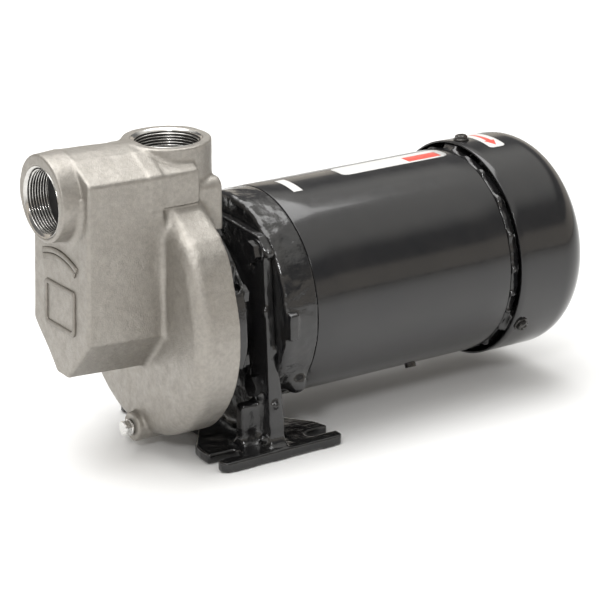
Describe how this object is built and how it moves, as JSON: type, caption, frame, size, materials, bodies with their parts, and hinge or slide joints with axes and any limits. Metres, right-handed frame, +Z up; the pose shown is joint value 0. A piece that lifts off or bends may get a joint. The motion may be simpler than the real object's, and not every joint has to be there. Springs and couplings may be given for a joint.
{
  "type": "shallow well jet pump",
  "caption": "Close-coupled electric pump: stainless casing with front suction and top discharge ports, cast foot bracket, fan-cooled motor.",
  "frame": {"origin": "centre of the bracket foot's resting face, below the shaft axis", "axes": "+X along the shaft from the suction port towards the fan end, +Z up out of the discharge port, +Y across the pump"},
  "size_m": [0.443, 0.2095, 0.2419],
  "materials": {
    "cast_stainless": "bead-blasted satin casting",
    "black_enamel": "gloss black enamel",
    "bright_steel": "machined",
    "rubber": "matt",
    "brass": "machined",
    "lamination": "stacked sheet",
    "copper": "varnished winding",
    "ceramic": "lapped ceramic",
    "black_plastic": "moulded",
    "label_white": "printed film"
  },
  "bodies": {
    "pump_body": {"casing": "cast_stainless", "flap_hinge_pin": "bright_steel", "ejector_nozzle": "brass", "ejector_venturi": "brass", "wear_ring": "brass", "seal_seat": "ceramic", "seal_cup": "rubber", "casing_gasket": "rubber", "drain_plug": "bright_steel", "casing_bolts": "black_enamel", "bracket": "black_enamel", "motor_bolts": "black_enamel", "stator_core": "lamination", "stator_windings": "copper", "front_bell": "black_enamel", "front_shaft_seal": "rubber", "motor_shell": "black_enamel", "rear_bell": "black_enamel", "front_outer_race": "bright_steel", "rear_outer_race": "bright_steel", "wave_washer": "bright_steel", "through_bolts": "black_enamel", "fan_shroud": "black_enamel", "shroud_screws": "black_enamel", "conduit_box": "black_enamel", "conduit_gasket": "rubber", "conduit_cover": "black_enamel", "conduit_screws": "bright_steel", "shell_plug": "black_enamel", "strip_label": "label_white", "long_label": "label_white", "arrow_label": "label_white"},
    "shaft_assembly": {"shaft": "bright_steel", "rotor_core": "lamination", "impeller": "cast_stainless", "seal_spring": "bright_steel", "seal_head": "rubber", "slinger": "rubber", "front_inner_race": "bright_steel", "rear_inner_race": "bright_steel", "fan": "black_plastic"},
    "check_flap": {"suction_flap": "rubber"},
    "front_ball_set": {"front_balls": "bright_steel", "front_cage": "brass"},
    "rear_ball_set": {"rear_balls": "bright_steel", "rear_cage": "brass"}
  },
  "joints": [
    {"name": "shaft_spin", "type": "hinge", "parent": "pump_body", "child": "shaft_assembly", "pos_m": [0, 0, 0.105], "axis": [1, 0, 0], "continuous": true},
    {"name": "front_ball_orbit", "type": "hinge", "parent": "pump_body", "child": "front_ball_set", "pos_m": [0.011, 0, 0.105], "axis": [1, 0, 0], "continuous": true},
    {"name": "rear_ball_orbit", "type": "hinge", "parent": "pump_body", "child": "rear_ball_set", "pos_m": [0.212, 0, 0.105], "axis": [1, 0, 0], "continuous": true},
    {"name": "flap_swing", "type": "hinge", "parent": "pump_body", "child": "check_flap", "pos_m": [-0.131, 0, 0.2319], "axis": [0, -1, 0], "range_deg": [0, 55]}
  ],
  "couplings": [
    {"joint": "front_ball_orbit", "follows": "shaft_spin", "ratio": 0.383},
    {"joint": "rear_ball_orbit", "follows": "shaft_spin", "ratio": 0.383}
  ]
}
